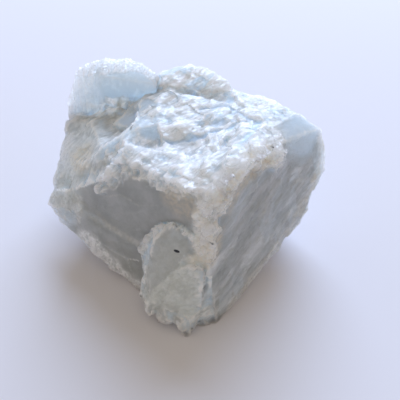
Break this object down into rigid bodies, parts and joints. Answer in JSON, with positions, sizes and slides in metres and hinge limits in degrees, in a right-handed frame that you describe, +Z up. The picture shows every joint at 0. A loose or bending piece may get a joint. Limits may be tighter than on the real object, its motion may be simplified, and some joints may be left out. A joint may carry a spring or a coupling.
{
  "type": "calcite specimen",
  "caption": "Hand-sized broken lump of pale blue massive calcite with flat cleavage faces, hackly top and stepped edges, standing on a flat underside.",
  "frame": {"origin": "under the middle of the bounding box, on the flat resting face", "axes": "+Z up, away from the resting face and along the shortest extent; +X along the longest extent; the two broad cleavage faces and the ridge between them face -Y"},
  "size_m": [0.0786, 0.0688, 0.046],
  "materials": {
    "calcite": "translucent pale blue-grey on cleavage faces, frosty white on broken edges"
  },
  "bodies": {
    "root": {"calcite_specimen": "calcite"}
  },
  "joints": []
}
